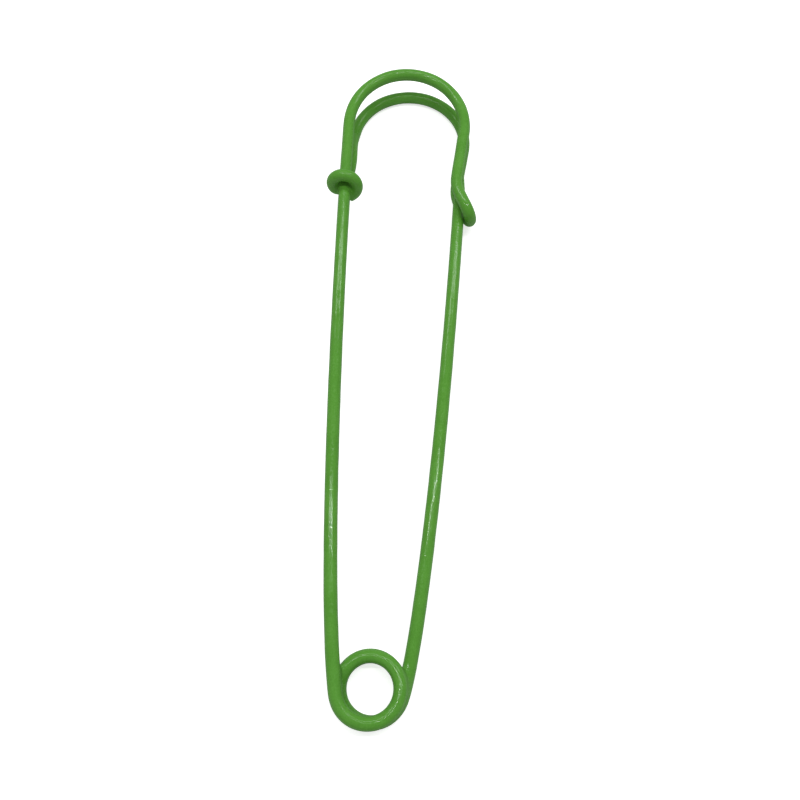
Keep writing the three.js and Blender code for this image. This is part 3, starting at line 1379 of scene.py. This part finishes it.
def wire_piece(
    name: str, grid: np.ndarray, stations: np.ndarray, coat: bpy.types.Material
) -> bpy.types.Object:
    """Turns a grid of rings into a closed piece of wire.

    The walls are quads between neighbouring rings. Each end is closed by a fan of triangles
    round the middle of its last ring.

    Args:
        name: The piece's name.
        grid: Rings, points round each ring, and three coordinates in metres.
        stations: The length of each ring along the wire, in millimetres.
        coat: The finish.

    Returns:
        The new object, at the origin, with its place in its mesh.
    """
    rings, sides, _ = grid.shape
    first, last = grid[0].mean(0), grid[-1].mean(0)
    vertices = np.vstack([grid.reshape(-1, 3), first, last])
    ring = np.arange(rings - 1)[:, None] * sides
    here = ring + np.arange(sides)[None, :]
    beside = ring + (np.arange(sides)[None, :] + 1) % sides
    quads = np.stack([here, here + sides, beside + sides, beside], -1).reshape(-1, 4)
    edge = np.arange(sides)
    following = (edge + 1) % sides
    start_pole = np.full(sides, rings * sides)
    end_pole = np.full(sides, rings * sides + 1)
    base = (rings - 1) * sides
    start_cap = np.stack([edge, following, start_pole], 1)
    end_cap = np.stack([base + following, base + edge, end_pole], 1)
    faces = quads.tolist() + start_cap.tolist() + end_cap.tolist()

    mesh = bpy.data.meshes.new(name)
    mesh.from_pydata(vertices.tolist(), [], faces)
    mesh.polygons.foreach_set("use_smooth", np.ones(len(faces), bool))
    place = mesh.attributes.new(PLACE_ATTRIBUTE, "FLOAT_VECTOR", "POINT")
    place.data.foreach_set("vector", vertices.astype(np.float32).ravel())
    mark_cut_edges(mesh, base, sides)
    unroll(mesh, stations, rings, sides)
    mesh.materials.append(coat)
    mesh.update()
    return put_in_scene(name, mesh)


def mark_cut_edges(mesh: bpy.types.Mesh, base: int, sides: int) -> None:
    """Keeps the wall's shading apart from the shading of the flat ends.

    Args:
        mesh: The piece.
        base: The index of the first point of the last ring.
        sides: The number of points round a ring.
    """
    ends = np.zeros(len(mesh.edges) * 2, int)
    mesh.edges.foreach_get("vertices", ends)
    pairs = ends.reshape(-1, 2)
    at_start = (pairs < sides).all(1)
    at_end = ((pairs >= base) & (pairs < base + sides)).all(1)
    sharp = mesh.attributes.new("sharp_edge", "BOOLEAN", "EDGE")
    sharp.data.foreach_set("value", at_start | at_end)


def unroll(mesh: bpy.types.Mesh, stations: np.ndarray, rings: int, sides: int) -> None:
    """Unrolls the wire into the piece's own UV map: length across, angle up, both up to 1.

    Args:
        mesh: The piece, with its walls first and its two caps after them.
        stations: The length of each ring along the wire, in millimetres.
        rings: The number of rings.
        sides: The number of points round a ring.
    """
    corners = np.zeros(len(mesh.loops), int)
    mesh.loops.foreach_get("vertex_index", corners)
    ring = np.minimum(corners // sides, rings - 1)
    turn = (corners % sides) / sides
    # The wall's last two corners lie further round, so where they close it they are at 1, not 0.
    further = np.tile([False, False, True, True], (rings - 1) * sides)
    closing = np.zeros(len(corners), bool)
    closing[: len(further)] = further
    turn = np.where(closing & (turn == 0), 1.0, turn)
    length = stations[ring] - stations[0]
    layer = mesh.uv_layers.new(name="unrolled")
    flat = np.stack([length / float(length.max()), turn], 1)
    layer.data.foreach_set("uv", flat.astype(np.float32).ravel())


@dataclass(frozen=True)
class Viewpoint:
    """The photograph's viewpoint. Lengths are in millimetres, from the coil's axis.

    Attributes:
        aim: A point on the line of sight through the middle of the picture.
        distance: From there to the camera.
        tilt: How far the line of sight leans from straight down to the head, in degrees.
        roll: The camera's roll about the length of the pin, in degrees.
        yaw: The camera's turn about the vertical, in degrees.
        lens: The lens's focal length.
        sensor: The width of the picture behind it.
        sight: The least and the greatest distance that the camera sees, in metres.
    """

    aim: tuple[float, float, float] = (4.83, 53.89, 1.226)
    distance: float = 151.5
    tilt: float = 20.06
    roll: float = -0.141
    yaw: float = 0.427
    lens: float = 34.2
    sensor: float = 36.0
    sight: tuple[float, float] = (0.005, 10.0)

    def camera(self, coil_axis: np.ndarray) -> bpy.types.Object:
        """Sets up the camera.

        Args:
            coil_axis: The coil's axis in the frame, in metres.

        Returns:
            The scene's camera.
        """
        tilt = Matrix.Rotation(math.radians(self.tilt), 3, "X")
        roll = Matrix.Rotation(math.radians(self.roll), 3, "Y")
        yaw = Matrix.Rotation(math.radians(self.yaw), 3, "Z")
        turned = yaw @ roll @ tilt
        back = turned @ Vector((0.0, 0.0, 1.0))
        place = (Vector(self.aim) + back * self.distance) * MM
        place += Vector((coil_axis[0], coil_axis[1], 0.0))
        data = bpy.data.cameras.new("photo_camera")
        data.lens = self.lens
        data.sensor_width = self.sensor
        data.clip_start, data.clip_end = self.sight
        made = put_in_scene("photo_camera", data)
        made.matrix_world = Matrix.Translation(place) @ turned.to_4x4()
        bpy.context.scene.camera = made
        return made


@dataclass(frozen=True)
class Lamp:
    """One oblong studio lamp. Lengths are in metres, in the frame.

    Attributes:
        name: The lamp's name.
        place: Its middle.
        width: Its length across the pin.
        depth: Its length along the pin.
        radiance: How bright its face is, where 1 is as bright as a white surface in full light.
    """

    name: str
    place: tuple[float, float, float]
    width: float
    depth: float
    radiance: float

    def light(self) -> bpy.types.Object:
        """Hangs the lamp over the pin, with its face to the frame's origin and its width level.

        Returns:
            The lamp.
        """
        data = bpy.data.lights.new(self.name, "AREA")
        data.shape = "RECTANGLE"
        data.size = self.width
        data.size_y = self.depth
        data.energy = LAMP_POWER * self.width * self.depth * self.radiance
        made = put_in_scene(self.name, data)
        place = Vector(self.place)
        back = place.normalized()
        across = Vector((0.0, 1.0, 0.0)).cross(back).normalized()
        turned = Matrix((across, back.cross(across), back)).transposed()
        made.matrix_world = Matrix.Translation(place) @ turned.to_4x4()
        return made


@dataclass(frozen=True)
class Studio:
    """The pale floor, the two long lamps overhead and the even light all round.

    Attributes:
        floor_size: The length of the floor's sides, in metres.
        floor_grey: Its own colour, which keeps the pin's shadow.
        floor_roughness: Its roughness.
        floor_glow: What is added to it for the camera alone.
        surround: How bright the surround is, where 1 is the white that the camera sees there.
        lamps: The lamps.
    """

    floor_size: float = 6.0
    floor_grey: float = 0.75
    floor_roughness: float = 0.9
    floor_glow: float = 0.66
    surround: float = 0.35
    lamps: tuple[Lamp, ...] = (
        Lamp("tube_lamp", (0.02, 0.052, 0.50), width=0.62, depth=0.008, radiance=59.0),
        Lamp("soft_lamp", (0.03, 0.30, 0.50), width=0.80, depth=0.055, radiance=8.0),
    )

    def floor(self) -> bpy.types.Object:
        """Lays the floor that the pin lies on.

        What the camera sees of it has a glow added, which throws no light on the pin.

        Returns:
            The floor, staged.
        """
        half = self.floor_size / 2
        corners = [(-half, -half, 0.0), (half, -half, 0.0), (half, half, 0.0), (-half, half, 0.0)]
        mesh = bpy.data.meshes.new("floor")
        mesh.from_pydata(corners, [], [(0, 1, 2, 3)])
        material = bpy.data.materials.new("pale_floor")
        bench = NodeBench(material)
        path = bench.add("ShaderNodeLightPath", {})
        inputs = {0: path.outputs["Is Camera Ray"], 1: self.floor_glow}
        glow = bench.add("ShaderNodeMath", inputs, operation="MULTIPLY")
        inputs = {
            "Base Color": (self.floor_grey, self.floor_grey, self.floor_grey, 1.0),
            "Roughness": self.floor_roughness,
            "Specular IOR Level": 0.0,
            "Emission Color": WHITE,
            "Emission Strength": glow.outputs["Value"],
        }
        bench.feed(bench.nodes["Principled BSDF"], inputs)
        mesh.materials.append(material)
        made = put_in_scene("floor", mesh)
        return made

    def world(self) -> None:
        """Fills the surround with even light, which the camera sees as white."""
        world = bpy.data.worlds.new("studio")
        bpy.context.scene.world = world
        bench = NodeBench(world)
        path = bench.add("ShaderNodeLightPath", {})
        seen = path.outputs["Is Camera Ray"]
        inputs = {"Value": seen, "To Min": self.surround, "To Max": 1.0}
        level = bench.add("ShaderNodeMapRange", inputs)
        inputs = {"Color": WHITE, "Strength": level.outputs["Result"]}
        bench.feed(bench.nodes["Background"], inputs)

    def build(self) -> None:
        """Sets up the whole studio."""
        self.floor()
        self.world()
        for lamp in self.lamps:
            lamp.light()
        bpy.context.scene.view_settings.view_transform = "Standard"


def main() -> None:
    """Builds the studio and the pin, and reports each piece."""
    logging.basicConfig(level=logging.INFO, format="%(name)s: %(message)s")
    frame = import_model()
    pin = PinWire(frame)
    Viewpoint().camera(pin.coil_axis)
    Studio().build()
    for piece in pin.pieces(GreenCoat().material()):
        log.info("%s: %d points", piece.name, len(piece.data.vertices))


if __name__ == "__main__":
    main()
